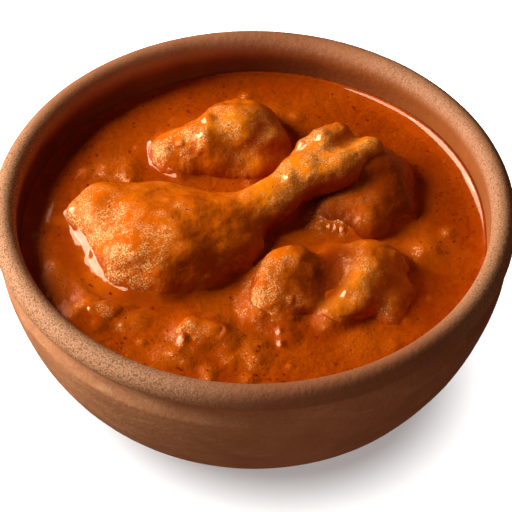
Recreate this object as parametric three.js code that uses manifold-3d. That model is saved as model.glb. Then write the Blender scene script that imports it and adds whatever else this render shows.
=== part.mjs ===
// Chicken curry served in its clay bowl: a drumstick, three other chicken pieces and two
// small ones, half sunk in thick gravy.
//
// Millimetres, +Z up, +Y towards the back of the bowl. The origin is the centre of the
// flat foot that the bowl stands on.
//
// Every piece of chicken is a smooth union of rounded, tapering lobes. castSkin() finds
// its surface by walking outwards from a core line inside the meat, so a piece is one
// closed skin however its lobes meet. The gravy fills the bowl up to its level and is
// cut round every piece.

import * as THREE from "three";
import { mergeVertices } from "three/addons/utils/BufferGeometryUtils.js";
import Module from "manifold-3d";

const wasm = await Module();
wasm.setup();

// ---------------------------------------------------------------- driving dimensions

const RIM_RADIUS = 100; // outermost point of the lip
const BOWL_HEIGHT = 82;
const LIP_THICKNESS = 9.4;
const LIP_DROP = 10.2; // the height of the lip's rounded section
const COVE_DEPTH = 1.5; // hollow under the lip
const COVE_HEIGHT = 6;
const FOOT_RADIUS = 51;
const FLOOR_THICKNESS = 9;
const BOWL_SIDES = 48;

const GRAVY_LEVEL = 64;
const GRAVY_RINGS = 15; // ring n of the gravy's surface has 6 n points
const WALL_CLIMB = 1.3; // how high gravy clings to the wall
const PIECE_CLIMB = 1.8; // and to the chicken
const CLIMB_REACH = 3.2; // how far out that rise fades

const GAP = 0.35; // clearance between touching solids

// ---------------------------------------------------------------- materials

function clay() {
  return new THREE.MeshStandardMaterial({ color: 0xa9683f, roughness: 0.78, metalness: 0 });
}

function gravySauce() {
  return new THREE.MeshStandardMaterial({ color: 0xb24a08, roughness: 0.22, metalness: 0 });
}

function coatedChicken() {
  return new THREE.MeshStandardMaterial({ color: 0xcc6a12, roughness: 0.3, metalness: 0 });
}

// ---------------------------------------------------------------- solids and booleans

// A closed geometry as a manifold-3d solid.
function solidOf(geometry) {
  const bare = geometry.clone();
  bare.deleteAttribute("normal");
  bare.deleteAttribute("uv");
  const merged = mergeVertices(bare, 1e-4);
  return new wasm.Manifold(
    new wasm.Mesh({
      numProp: 3,
      vertProperties: new Float32Array(merged.attributes.position.array),
      triVerts: new Uint32Array(merged.index.array),
    }),
  );
}

function geometryOf(solid) {
  const { vertProperties, triVerts } = solid.getMesh();
  const geometry = new THREE.BufferGeometry();
  geometry.setAttribute("position", new THREE.BufferAttribute(vertProperties, 3));
  geometry.setIndex(new THREE.BufferAttribute(triVerts, 1));
  geometry.computeVertexNormals();
  return geometry;
}

// ---------------------------------------------------------------- bowl

// A quarter-ellipse wall: flat at its foot and upright at the top.
function wallCurve(centreRadius, reach, low, rise) {
  return (angle) =>
    new THREE.Vector2(
      centreRadius + reach * Math.sin(angle),
      low + rise * (1 - Math.cos(angle)),
    );
}

const outerWall = wallCurve(47, 52, 0, 78);
const innerWall = wallCurve(42, 48.2, FLOOR_THICKNESS, 67);
const OUTER_START = Math.asin((FOOT_RADIUS - 47) / 52);
const OUTER_END = THREE.MathUtils.degToRad(79);
const INNER_END = THREE.MathUtils.degToRad(86);

function bowlProfile() {
  const points = [new THREE.Vector2(0, 0), new THREE.Vector2(FOOT_RADIUS, 0)];
  const outerSteps = 8;
  for (let i = 0; i <= outerSteps; i++) {
    points.push(outerWall(THREE.MathUtils.lerp(OUTER_START, OUTER_END, i / outerSteps)));
  }
  const shoulder = points.at(-1);
  points.push(new THREE.Vector2(shoulder.x - COVE_DEPTH / 2, shoulder.y + COVE_HEIGHT / 2));

  const lipCentre = new THREE.Vector2(RIM_RADIUS - LIP_THICKNESS / 2, BOWL_HEIGHT - LIP_DROP / 2);
  const lipSteps = 9;
  for (let i = 0; i <= lipSteps; i++) {
    const angle = THREE.MathUtils.lerp(-Math.PI / 3, Math.PI, i / lipSteps);
    points.push(
      new THREE.Vector2(
        lipCentre.x + (LIP_THICKNESS / 2) * Math.cos(angle),
        lipCentre.y + (LIP_DROP / 2) * Math.sin(angle),
      ),
    );
  }
  const innerSteps = 6;
  for (let i = 0; i <= innerSteps; i++) {
    points.push(innerWall(INNER_END * (1 - i / innerSteps)));
  }
  points.push(new THREE.Vector2(0, FLOOR_THICKNESS));
  return points;
}

// Turns a lathe, which spins round +Y, so that it spins round +Z.
function latheUpright(points, sides) {
  return new THREE.LatheGeometry(points, sides).rotateX(Math.PI / 2);
}

// The space inside the bowl, clear of its wall, open well above the gravy.
function cavity() {
  const points = [new THREE.Vector2(0, FLOOR_THICKNESS + GAP)];
  const steps = 6;
  for (let i = 0; i <= steps; i++) {
    const point = innerWall((INNER_END * i) / steps);
    points.push(new THREE.Vector2(point.x - GAP, point.y + GAP));
  }
  const top = points.at(-1);
  points.push(new THREE.Vector2(0, top.y));
  return solidOf(latheUpright(points, BOWL_SIDES));
}

// ---------------------------------------------------------------- chicken

// A lobe is a tapering capsule: [start, end, start radius, end radius].
// A squash below 1 flattens every lobe of a piece by that much from top to bottom.
function lobeDistance(point, [start, end, startRadius, endRadius], squash) {
  const along = [0, 1, 2].map((i) => (end[i] - start[i]) / (i === 2 ? squash : 1));
  const from = [0, 1, 2].map((i) => (point[i] - start[i]) / (i === 2 ? squash : 1));
  const length2 = along.reduce((sum, a) => sum + a * a, 0) || 1;
  const dot = from.reduce((sum, f, i) => sum + f * along[i], 0);
  const t = THREE.MathUtils.clamp(dot / length2, 0, 1);
  const away = Math.hypot(...from.map((f, i) => f - t * along[i]));
  return away - THREE.MathUtils.lerp(startRadius, endRadius, t);
}

function smoothMin(a, b, width) {
  const overlap = Math.max(width - Math.abs(a - b), 0) / width;
  return Math.min(a, b) - (overlap * overlap * width) / 4;
}

// Soft lumps of one size, from about -1 to 1.
function lumps([x, y, z], size) {
  const [u, v, w] = [x / size, y / size + 1.7, z / size + 4.1];
  return (
    (Math.sin(u) * Math.cos(v) + Math.sin(v) * Math.cos(w) + Math.sin(w) * Math.cos(u)) / 1.5
  );
}

// Distance from a point to the piece's surface, negative inside it.
function meatDistance(piece, point) {
  let distance = Infinity;
  for (const lobe of piece.lobes) {
    distance = smoothMin(distance, lobeDistance(point, lobe, piece.squash), piece.blend);
  }
  for (const groove of piece.grooves ?? []) {
    distance = -smoothMin(-distance, lobeDistance(point, groove, 1), piece.blend / 2);
  }
  return distance - piece.relief * lumps(point, piece.lumpSize);
}

// The drumstick lies across the bowl: its thick end at the left, the bare ankle with its
// two knobs at the right, up on the thigh.
const DRUMSTICK = {
  detail: 8,
  squash: 0.84,
  blend: 7,
  relief: 0.5,
  lumpSize: 3.6,
  core: [
    [-41, -8, 58],
    [-14, 1, 62],
    [3, 9, 67.5],
    [20, 22.5, 72],
    [34, 31.5, 73],
  ],
  lobes: [
    [[-38, -11, 57], [-32, -12, 57.5], 26, 26], // thick end of the meat
    [[-55, 7, 60.5], [-30, 6, 60], 17.5, 18], // its back, towards the left
    [[-18, -9, 60], [-11.5, -6, 61.8], 17, 15], // bulge beside the shank
    [[-20, 2, 63], [4, 10, 67.5], 14, 8.6], // meat tapering to the shank
    [[4, 10, 67.5], [20, 22.5, 72], 8.4, 7.8], // shank
    [[20, 22.5, 72], [32, 26, 73], 8.4, 9], // ankle
    [[19, 28, 70], [27, 38, 71], 7.5, 7],
    [[29, 35, 73], [32.4, 42.3, 75], 7, 5.8], // knobs of the joint
    [[36, 30, 72], [44.5, 35.5, 73.5], 8, 6.2],
  ],
  grooves: [[[39, 39, 79.5], [31, 31, 82], 2.6, 1.8]],
};

// The thigh that the ankle rests on, folded along its right side.
const THIGH = {
  detail: 4,
  squash: 0.84,
  blend: 6,
  relief: 0.5,
  lumpSize: 3.8,
  core: [
    [38, 12, 57],
    [49, 25, 58],
  ],
  lobes: [
    [[36, 15, 57], [46, 21, 59], 14.5, 18],
    [[41, 30, 64], [46.5, 30, 63.5], 13, 14.5], // its back, as high as the ankle
    [[29, 6, 61], [45, 6.5, 62], 6, 9], // rolled edge facing the front
    [[45, 6.5, 62], [54, 13, 63], 9, 8],
  ],
  grooves: [[[30, 15.5, 74], [51, 18, 78], 4.5, 4.5]],
};

// The piece at the back: one tall lobe, a low flank at its left and knuckles at its right.
const BACK_PIECE = {
  detail: 6,
  squash: 0.88,
  blend: 5,
  relief: 0.7,
  lumpSize: 3.4,
  core: [
    [-26, 42, 58],
    [-4, 47, 58],
  ],
  lobes: [
    [[-12, 47, 61], [-6, 51, 64], 16.5, 17.5], // tall lobe
    [[-30, 42, 61], [-18, 46, 64], 12, 14.5], // left flank
    [[-33.5, 46, 61.5], [-28.5, 39, 61], 8.5, 9],
    [[1, 47.5, 65], [6, 49, 65.5], 8.5, 7], // knuckles
    [[2, 41, 59], [11, 39, 60], 9, 7],
    [[-4, 37.5, 62], [0, 35.5, 62.5], 7.5, 7],
  ],
  grooves: [[[-2, 33, 75], [5, 44, 77], 3, 3]],
};

// The piece at the front right: two lobes with a saddle between them, and a ridge down
// its front.
const FRONT_PIECE = {
  detail: 7,
  squash: 0.88,
  blend: 4.5,
  relief: 0.5,
  lumpSize: 3.2,
  core: [
    [9, -34, 57],
    [26, -32, 58],
    [46, -28, 57],
  ],
  lobes: [
    [[14.5, -21.5, 61.5], [8, -33, 60.5], 13, 12], // left lobe
    [[8, -33, 60], [3, -44, 60], 11, 7.5],
    [[12, -37, 60], [12, -47, 60], 8, 6.5],
    [[35, -17.5, 60], [45, -20, 62], 12.5, 13.5], // right lobe
    [[51.5, -21, 57], [53, -29, 57], 12, 12.5],
    [[43, -27, 60], [45, -31, 60], 11, 10],
    [[44, -28, 66], [39.5, -35.5, 65], 8.5, 7.5], // ridge
    [[39.5, -35.5, 65], [32.5, -43, 63.5], 7.5, 6.2],
    [[32.5, -43, 63.5], [25.5, -51, 60], 6.2, 5],
    [[28, -25, 62.5], [20, -36, 62.5], 8.5, 8], // saddle between the lobes
    [[12, -46, 59], [13, -52, 60], 7, 6], // knuckles
    [[49, -36, 57], [52, -43, 59], 9, 7.5],
  ],
  grooves: [
    [[29, -20, 75], [27, -41, 73], 5.5, 4.5],
    [[8, -40, 77], [8, -52, 72], 2, 2],
  ],
};

// A small piece is a lobe or two that just breaks the surface.
function smallPiece(lobes) {
  const [[start, end]] = lobes;
  return { detail: 2, squash: 0.9, blend: 4, relief: 0.5, lumpSize: 2.6, core: [start, end], lobes };
}

const SMALL_FRONT = smallPiece([
  [[-23, -52, 59.5], [-16, -53.5, 60], 8.2, 8.6],
  [[-13.5, -55.5, 61], [-10, -58.5, 61], 6, 5],
]);
const SMALL_LEFT = smallPiece([
  [[-62, -41.5, 58.2], [-53, -43, 58.4], 8.6, 8.4],
  [[-64, -45, 60], [-58, -48, 60], 5, 5],
]);

const PIECES = {
  drumstick: DRUMSTICK,
  thigh: THIGH,
  back_piece: BACK_PIECE,
  front_piece: FRONT_PIECE,
  small_piece_front: SMALL_FRONT,
  small_piece_left: SMALL_LEFT,
};

// The point at a share of the way along the core line.
function corePoint(core, share) {
  const place = THREE.MathUtils.clamp(share, 0, 1) * (core.length - 1);
  const index = Math.min(Math.floor(place), core.length - 2);
  const part = place - index;
  return core[index].map((value, i) => THREE.MathUtils.lerp(value, core[index + 1][i], part));
}

// A closed skin of the piece, grown outwards by `grow`. Every vertex of a sphere walks
// from its own point of the core line until it leaves the meat.
function castSkin(piece, grow = 0) {
  const sphere = new THREE.IcosahedronGeometry(1, piece.detail);
  const { position } = sphere.attributes;
  const axis = new THREE.Vector3(...piece.core.at(-1)).sub(new THREE.Vector3(...piece.core[0]));
  axis.normalize();
  const direction = new THREE.Vector3();
  const outside = (start, reach) =>
    meatDistance(piece, [
      start[0] + direction.x * reach,
      start[1] + direction.y * reach,
      start[2] + direction.z * reach,
    ]) > grow;
  for (let i = 0; i < position.count; i++) {
    direction.fromBufferAttribute(position, i).normalize();
    const start = corePoint(piece.core, 0.5 + 0.5 * direction.dot(axis));
    const step = 1;
    let reach = step;
    while (!outside(start, reach)) reach += step;
    let [low, high] = [reach - step, reach];
    for (let halving = 0; halving < 12; halving++) {
      const middle = (low + high) / 2;
      if (outside(start, middle)) high = middle;
      else low = middle;
    }
    position.setXYZ(
      i,
      start[0] + direction.x * high,
      start[1] + direction.y * high,
      start[2] + direction.z * high,
    );
  }
  return sphere;
}

// ---------------------------------------------------------------- gravy

// Lumps of onion and spice just under the surface: [x, y, radius, height].
const MOUNDS = [
  [-44, -47, 5, 1.6],
  [-51, 33, 6, 1.4],
  [-60, -30, 7, 0.9],
  [-3, -60, 8, 1.1],
  [66, -9, 5, 1.5],
  [8, 66, 6, 1.0],
  [26, 10, 7, 1.2],
  [40, -58, 7, 0.9],
  [-30, -64, 6, 0.8],
  [18, 32, 6, 1.1],
];

function gravyHeight(x, y) {
  const fade = (distance) => Math.exp(-Math.max(distance, 0) / CLIMB_REACH);
  const radius = Math.hypot(x, y);
  let height = GRAVY_LEVEL + 0.35 * lumps([x, y, 0], 7.5);
  height += WALL_CLIMB * fade(innerWall(INNER_END).x - radius);
  const nearest = Math.min(
    ...Object.values(PIECES).map((piece) => meatDistance(piece, [x, y, GRAVY_LEVEL])),
  );
  height += PIECE_CLIMB * fade(nearest);
  for (const [mx, my, size, rise] of MOUNDS) {
    height += rise * Math.exp(-((x - mx) ** 2 + (y - my) ** 2) / (size * size));
  }
  return height;
}

// A round slab with the gravy's relief on top, wider than the bowl's inside. Its rings
// have 6, 12, 18 ... points, so its triangles are of even size.
function gravySlab() {
  const radius = innerWall(INNER_END).x + 2;
  const points = [[0, 0]];
  for (let ring = 1; ring <= GRAVY_RINGS; ring++) {
    for (let k = 0; k < 6 * ring; k++) {
      const angle = (2 * Math.PI * k) / (6 * ring);
      const r = (radius * ring) / GRAVY_RINGS;
      points.push([r * Math.cos(angle), r * Math.sin(angle)]);
    }
  }
  const vertices = points.flatMap(([x, y]) => [x, y, gravyHeight(x, y)]);
  const faces = [];
  const ringStart = (ring) => (ring === 0 ? 0 : 1 + 3 * ring * (ring - 1));
  const at = (ring, k) => ringStart(ring) + (ring === 0 ? 0 : k % (6 * ring));
  for (let ring = 1; ring <= GRAVY_RINGS; ring++) {
    for (let sector = 0; sector < 6; sector++) {
      for (let i = 0; i < ring; i++) {
        const outer = sector * ring + i;
        const inner = sector * (ring - 1) + i;
        faces.push(at(ring, outer), at(ring, outer + 1), at(ring - 1, inner));
        if (i < ring - 1) faces.push(at(ring, outer + 1), at(ring - 1, inner + 1), at(ring - 1, inner));
      }
    }
  }
  // The flat underside repeats the outer ring, joined by a side wall and a fan.
  const edge = 6 * GRAVY_RINGS;
  const lowCentre = points.length + edge;
  for (let k = 0; k < edge; k++) {
    const [x, y] = points[at(GRAVY_RINGS, k)];
    vertices.push(x, y, 0);
  }
  vertices.push(0, 0, 0);
  for (let k = 0; k < edge; k++) {
    const next = (k + 1) % edge;
    const [top, topNext] = [at(GRAVY_RINGS, k), at(GRAVY_RINGS, next)];
    const [low, lowNext] = [points.length + k, points.length + next];
    faces.push(top, low, topNext, topNext, low, lowNext, lowCentre, lowNext, low);
  }
  const geometry = new THREE.BufferGeometry();
  geometry.setAttribute("position", new THREE.Float32BufferAttribute(vertices, 3));
  geometry.setIndex(faces);
  return solidOf(geometry);
}

function gravySolid() {
  let gravy = gravySlab().intersect(cavity());
  for (const piece of Object.values(PIECES)) {
    gravy = gravy.subtract(solidOf(castSkin(piece, GAP)));
  }
  return gravy;
}

// ---------------------------------------------------------------- assembly

const curry = new THREE.Group();

function add(name, geometry, material) {
  const mesh = new THREE.Mesh(geometry, material);
  mesh.name = name;
  curry.add(mesh);
}

add("bowl", latheUpright(bowlProfile(), BOWL_SIDES), clay());
add("gravy", geometryOf(gravySolid()), gravySauce());
for (const [name, piece] of Object.entries(PIECES)) {
  let solid = solidOf(castSkin(piece));
  if (name === "thigh") solid = solid.subtract(solidOf(castSkin(DRUMSTICK, GAP)));
  add(name, geometryOf(solid), coatedChicken());
}

export default curry;
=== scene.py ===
import math

import bmesh
import bpy
import numpy as np
from mathutils import Matrix, Vector


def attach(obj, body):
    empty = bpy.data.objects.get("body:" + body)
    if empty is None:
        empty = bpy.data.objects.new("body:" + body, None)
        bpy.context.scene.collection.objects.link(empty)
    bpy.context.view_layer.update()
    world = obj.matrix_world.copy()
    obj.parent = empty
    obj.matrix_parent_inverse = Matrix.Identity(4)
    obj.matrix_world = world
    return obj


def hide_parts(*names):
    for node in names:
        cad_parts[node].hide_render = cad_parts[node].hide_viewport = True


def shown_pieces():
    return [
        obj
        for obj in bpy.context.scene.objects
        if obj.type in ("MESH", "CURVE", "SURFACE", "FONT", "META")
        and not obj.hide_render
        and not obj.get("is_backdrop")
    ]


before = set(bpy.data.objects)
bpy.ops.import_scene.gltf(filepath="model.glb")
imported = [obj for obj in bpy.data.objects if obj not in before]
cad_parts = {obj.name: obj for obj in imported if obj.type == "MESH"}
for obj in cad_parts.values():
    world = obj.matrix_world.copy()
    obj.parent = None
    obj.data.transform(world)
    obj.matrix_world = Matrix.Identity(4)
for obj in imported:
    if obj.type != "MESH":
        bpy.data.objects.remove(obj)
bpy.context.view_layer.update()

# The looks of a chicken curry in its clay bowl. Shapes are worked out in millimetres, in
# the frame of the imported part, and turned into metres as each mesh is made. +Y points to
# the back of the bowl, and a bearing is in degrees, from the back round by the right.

MM = 0.001

# ------------------------------------------------------------------ sizes

RIM_RADIUS = 100.0
BOWL_HEIGHT = 82.0
LIP_THICKNESS = 9.4
LIP_DROP = 10.2
FOOT_RADIUS = 51.0
FLOOR_THICKNESS = 9.0
BOWL_SIDES = 320
# Each side of the wall is a quarter of an ellipse, flat at the foot and upright at the
# top: the radius of its centre, how far out it reaches and how far it rises.
OUTER_CENTRE, OUTER_REACH, OUTER_RISE = 47, 52, 78
INNER_CENTRE, INNER_REACH, INNER_RISE = 42, 48.2, 67

GRAVY_LEVEL = 64.0
WALL_CLIMB = 2.2

# Directions that a surface can face.
GLINT_FACING = np.array([-0.55, -0.33, 0.77])  # mirrors the key light to the camera
SPARKLE_FACING = np.array([-0.6, -0.25, 0.76])  # painted sparkles: a pale grain where the surface mirrors the key light
KEY_LIT_FACING = np.array([-0.72, 0.1, 0.69])  # painted light: the sauce is lighter where it faces the key light
THIN_LIT_FACING = np.array([-0.5, -0.1, 0.86])  # painted light: the thin spots show only where they face the key light

# ------------------------------------------------------------------ noise and helpers


def lattice(ix, iy, iz, seed):
    """A fixed random number from 0 to 1 for each lattice point, by an integer hash."""
    n = ix * 73856093 ^ iy * 19349663 ^ iz * 83492791 ^ seed * 40503
    n = (n ^ (n >> 13)) * 1274126177 & 0x7FFFFFFF
    return ((n ^ (n >> 15)) & 0xFFFFF) / 0xFFFFF


def noise(points, size, seed=0):
    """Smooth noise from -1 to 1 whose bumps are about `size` millimetres apart."""
    p = np.asarray(points, float) / size + 1000.0  # above 0 everywhere
    low = np.floor(p).astype(np.int64)
    f = p - low
    f = f * f * f * (f * (f * 6 - 15) + 10)
    total = 0.0
    for dx in (0, 1):
        wx = f[:, 0] if dx else 1 - f[:, 0]
        for dy in (0, 1):
            wy = f[:, 1] if dy else 1 - f[:, 1]
            for dz in (0, 1):
                wz = f[:, 2] if dz else 1 - f[:, 2]
                corner = lattice(low[:, 0] + dx, low[:, 1] + dy, low[:, 2] + dz, seed)
                total = total + wx * wy * wz * corner
    return 2 * total - 1


def layered(points, size, octaves, seed=0, gain=0.5):
    """Noise with finer and weaker noise laid over it."""
    total, weight = 0.0, 1.0
    for octave in range(octaves):
        total = total + weight * noise(points, size / 2**octave, seed + 17 * octave)
        weight *= gain
    return total


def lumps(points, size):
    """Rounded lumps from about -1 to 1, by a gyroid."""
    u, v, w = points[:, 0] / size, points[:, 1] / size + 1.7, points[:, 2] / size + 4.1
    return (np.sin(u) * np.cos(v) + np.sin(v) * np.cos(w) + np.sin(w) * np.cos(u)) / 1.5


def smoothstep(low, high, x):
    t = np.clip((x - low) / (high - low), 0, 1)
    return t * t * (3 - 2 * t)


def bell(points, middle, reach):
    """1 at the middle, falling off smoothly, to about a third at the reach."""
    return np.exp(-((points - np.array(middle)) ** 2).sum(1) / reach**2)


def smooth_min(a, b, width):
    overlap = np.maximum(width - np.abs(a - b), 0) / width
    return np.minimum(a, b) - overlap * overlap * width / 4


def at_height(xy, height=0.0):
    """Points above xy, all at one height or each at its own."""
    return np.column_stack([xy, np.full(len(xy), height)])


def bearing_of(points):
    return np.degrees(np.arctan2(points[:, 0], points[:, 1]))


# ------------------------------------------------------------------ chicken

# Each piece is a smooth union of lobes under a film of sauce:
#   lobes         tapering capsules: start, end, start radius, end radius
#   grooves       capsules that are taken out of them
#   squash        how flat the lobes are
#   blend         how softly they run into each other
#   relief        height of the meat's lumps, which are lump_size across
#   core          line inside the meat that its skin is cast from
#   subdivisions  fineness of the sphere that is cast
# and, where a piece has them, spots on it as x, y, z, reach:
#   shade_spots   painted shade: the sauce is made darker there
#   thin          thin sauce, lit with painted light on the sides facing the key light
#   drops         a drop of it stands there
# `bright` below 1 weakens the painted light on the top of a small piece, which lies deep in the
# sauce.
PIECES = {
    "drumstick": {
        "squash": 0.84,
        "blend": 7.0,
        "relief": 0.5,
        "lump_size": 3.6,
        "subdivisions": 7,
        "core": [(-41, -8, 58), (-14, 1, 62), (3, 9, 67.5), (20, 22.5, 72), (34, 31.5, 73)],
        "lobes": [
            ((-38, -11, 57), (-32, -12, 57.5), 26, 26),
            ((-55, 7, 60.5), (-30, 6, 60), 17.5, 18),
            ((-18, -9, 60), (-11.5, -6, 61.8), 17, 15),
            ((-20, 2, 63), (4, 10, 67.5), 14, 8.6),
            ((4, 10, 67.5), (20, 22.5, 72), 8.4, 7.8),
            ((20, 22.5, 72), (32, 26, 73), 8.4, 9),
            ((19, 28, 70), (27, 38, 71), 7.5, 7),
            ((29, 35, 73), (32.4, 42.3, 75), 7, 5.8),
            ((36, 30, 72), (44.5, 35.5, 73.5), 8, 6.2),
        ],
        "grooves": [((39, 39, 79.5), (31, 31, 82), 2.6, 1.8)],
        "thin": [(7, 10, 76, 9), (20, 19, 79, 11), (32, 26, 81, 12), (42, 34, 78, 7)],
        "drops": [
            (-70.2, 6.5, 67.8, 2.6),
            (25.6, 36.4, 79.3, 3.4),
            (18.6, 36, 74.9, 3.8),
            (12.7, 16.1, 77.2, 2.6),
        ],
    },
    "thigh": {
        "squash": 0.84,
        "blend": 6.0,
        "relief": 0.5,
        "lump_size": 3.8,
        "subdivisions": 6,
        "core": [(38, 12, 57), (49, 25, 58)],
        "lobes": [
            ((36, 15, 57), (46, 21, 59), 14.5, 18),
            ((41, 30, 64), (46.5, 30, 63.5), 13, 14.5),
            ((29, 6, 61), (45, 6.5, 62), 6, 9),
            ((45, 6.5, 62), (54, 13, 63), 9, 8),
        ],
        "grooves": [((30, 15.5, 74), (51, 18, 78), 4.5, 4.5)],
        # Painted shade: the sauce is made darker at these spots.
        "shade_spots": [(50, 24, 74, 15), (58, 11, 69, 11), (31, 3, 67, 9), (38, -4, 65, 5)],
    },
    "back_piece": {
        "squash": 0.88,
        "blend": 5.0,
        "relief": 0.7,
        "lump_size": 3.4,
        "subdivisions": 7,
        "core": [(-26, 42, 58), (-4, 47, 58)],
        "lobes": [
            ((-12, 47, 61), (-6, 51, 64), 16.5, 17.5),
            ((-30, 42, 61), (-18, 46, 64), 12, 14.5),
            ((-33.5, 46, 61.5), (-28.5, 39, 61), 8.5, 9),
            ((1, 47.5, 65), (6, 49, 65.5), 8.5, 7),
            ((2, 41, 59), (11, 39, 60), 9, 7),
            ((-4, 37.5, 62), (0, 35.5, 62.5), 7.5, 7),
        ],
        "grooves": [((-2, 33, 75), (5, 44, 77), 3, 3)],
        "thin": [(4, 47, 72, 8), (-2, 35, 69, 6), (-10, 44, 78, 8)],
        "drops": [(-19.7, 48.2, 77.3, 3.2), (-20.8, 40.9, 76.6, 3.2)],
    },
    "front_piece": {
        "squash": 0.88,
        "blend": 4.5,
        "relief": 0.5,
        "lump_size": 3.2,
        "subdivisions": 7,
        "core": [(9, -34, 57), (26, -32, 58), (46, -28, 57)],
        "lobes": [
            ((14.5, -21.5, 61.5), (8, -33, 60.5), 13, 12),
            ((8, -33, 60), (3, -44, 60), 11, 7.5),
            ((12, -37, 60), (12, -47, 60), 8, 6.5),
            ((35, -17.5, 60), (45, -20, 62), 12.5, 13.5),
            ((51.5, -21, 57), (53, -29, 57), 12, 12.5),
            ((43, -27, 60), (45, -31, 60), 11, 10),
            ((44, -28, 66), (39.5, -35.5, 65), 8.5, 7.5),
            ((39.5, -35.5, 65), (32.5, -43, 63.5), 7.5, 6.2),
            ((32.5, -43, 63.5), (25.5, -51, 60), 6.2, 5),
            ((28, -25, 62.5), (20, -36, 62.5), 8.5, 8),
            ((12, -46, 59), (13, -52, 60), 7, 6),
            ((49, -36, 57), (52, -43, 59), 9, 7.5),
        ],
        "grooves": [
            ((29, -20, 75), (27, -41, 73), 5.5, 4.5),
            ((8, -40, 77), (8, -52, 72), 2, 2),
        ],
        # Painted shade: the sauce is made darker at these spots.
        "shade_spots": [(30, -19, 69, 9), (26, -32, 67, 12)],
        "thin": [(41, -33, 71, 8), (32, -42, 67, 6)],
        "drops": [(34.3, -38.4, 70.2, 2.8)],
    },
    "small_piece_front": {
        "squash": 0.9,
        "blend": 4.0,
        "relief": 0.5,
        "lump_size": 2.6,
        "subdivisions": 5,
        "core": [(-23, -52, 59.5), (-16, -53.5, 60)],
        "lobes": [
            ((-23, -52, 59.5), (-16, -53.5, 60), 8.2, 8.6),
            ((-13.5, -55.5, 61), (-10, -58.5, 61), 6, 5),
        ],
        "grooves": [],
        "bright": 0.5,
    },
    "small_piece_left": {
        "squash": 0.9,
        "blend": 4.0,
        "relief": 0.5,
        "lump_size": 2.6,
        "subdivisions": 5,
        "core": [(-62, -41.5, 58.2), (-53, -43, 58.4)],
        "lobes": [
            ((-62, -41.5, 58.2), (-53, -43, 58.4), 8.6, 8.4),
            ((-64, -45, 60), (-58, -48, 60), 5, 5),
        ],
        "grooves": [],
        "bright": 0.4,
        "drops": [(-61, -43.5, 66, 2)],
    },
}

FAR_AWAY = 1e3
CAST_STEPS = 36
FILM_HEIGHT = 0.85
# Painted light makes the top of a piece lighter from here up, or from lower on a piece that
# stands less high.
BRIGHT_HEIGHT = GRAVY_LEVEL + 7.5


def lobe_distance(points, lobe, squash):
    start, end, start_radius, end_radius = lobe
    scale = np.array([1, 1, 1 / squash])
    start = np.array(start, float) * scale
    along = np.array(end, float) * scale - start
    away = points * scale - start
    length2 = float(along @ along) or 1.0
    t = np.clip(away @ along / length2, 0, 1)
    gap = away - t[:, None] * along
    return np.sqrt((gap * gap).sum(1)) - (start_radius + (end_radius - start_radius) * t)


def meat_distance(piece, points):
    """Distance to a piece's surface, negative inside it."""
    distance = np.full(len(points), FAR_AWAY)
    for lobe in piece["lobes"]:
        to_lobe = lobe_distance(points, lobe, piece["squash"])
        distance = smooth_min(distance, to_lobe, piece["blend"])
    for groove in piece["grooves"]:
        to_groove = lobe_distance(points, groove, 1)
        distance = -smooth_min(-distance, to_groove, piece["blend"] / 2)
    return distance - piece["relief"] * lumps(points, piece["lump_size"])


def all_meat(points):
    """Distance to the nearest piece's surface."""
    distance = np.full(len(points), FAR_AWAY)
    for piece in PIECES.values():
        distance = np.minimum(distance, meat_distance(piece, points))
    return distance


def icosphere(subdivisions):
    """Vertices and triangles of a unit sphere."""
    bm = bmesh.new()
    bmesh.ops.create_icosphere(bm, subdivisions=subdivisions, radius=1)
    verts = np.array([v.co for v in bm.verts], float)
    faces = np.array([[v.index for v in f.verts] for f in bm.faces], int)
    bm.free()
    return verts / np.linalg.norm(verts, axis=1)[:, None], faces


def core_points(core, share):
    """The points at these shares of the core line, from 0 at its start to 1 at its end."""
    core = np.array(core, float)
    place = np.clip(share, 0, 1) * (len(core) - 1)
    index = np.minimum(place.astype(int), len(core) - 2)
    part = (place - index)[:, None]
    return core[index] * (1 - part) + core[index + 1] * part


def cast_skin(piece):
    """The piece's surface: each point of a sphere walks out of the meat from the core line."""
    directions, faces = icosphere(piece["subdivisions"])
    axis = np.array(piece["core"][-1], float) - np.array(piece["core"][0], float)
    axis /= np.linalg.norm(axis)
    start = core_points(piece["core"], 0.5 + 0.5 * directions @ axis)
    reach = np.zeros(len(directions))
    for _ in range(CAST_STEPS):
        distance = meat_distance(piece, start + directions * reach[:, None])
        outwards = np.maximum(-0.8 * distance, 0.01)
        back_again = -0.3 * distance
        reach += np.where(distance < -0.005, outwards, back_again)
    return start + directions * reach[:, None], faces


def vertex_normals(verts, faces):
    a, b, c = verts[faces[:, 0]], verts[faces[:, 1]], verts[faces[:, 2]]
    flat = np.cross(b - a, c - a)
    normals = np.zeros_like(verts)
    for corner in range(3):
        for axis in range(3):
            normals[:, axis] += np.bincount(faces[:, corner], flat[:, axis], len(verts))
    return normals / np.maximum(np.linalg.norm(normals, axis=1), 1e-12)[:, None]


def coat(verts, faces, seed):
    """The meat's skin with the sauce's lumpy film on it, and its beads here and there."""
    film = FILM_HEIGHT * layered(verts, 11, 3, seed, 0.42)
    beads = np.maximum(noise(verts, 3.6, seed + 5) - 0.25, 0) ** 1.5
    beads *= smoothstep(-0.1, 0.5, noise(verts, 16, seed + 7))
    return verts + vertex_normals(verts, faces) * (film + beads)[:, None]


def add_drops(verts, faces, drops):
    """Adds drops of smooth sauce, each with a side that faces the light.

    Returns the new points and where the drops lie.
    """
    normals = vertex_normals(verts, faces)
    moved, wet = verts.copy(), np.zeros(len(verts))
    for *middle, reach in drops:
        near = bell(verts, middle, reach)
        facing = near @ normals
        facing /= np.linalg.norm(facing)
        lean = facing - GLINT_FACING / (GLINT_FACING @ facing)
        height = (verts - np.array(middle)) @ lean + 0.3 * reach
        moved += normals * (near * height)[:, None]
        wet = np.maximum(wet, smoothstep(0.5, 0.75, near))
    return moved, wet


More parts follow.
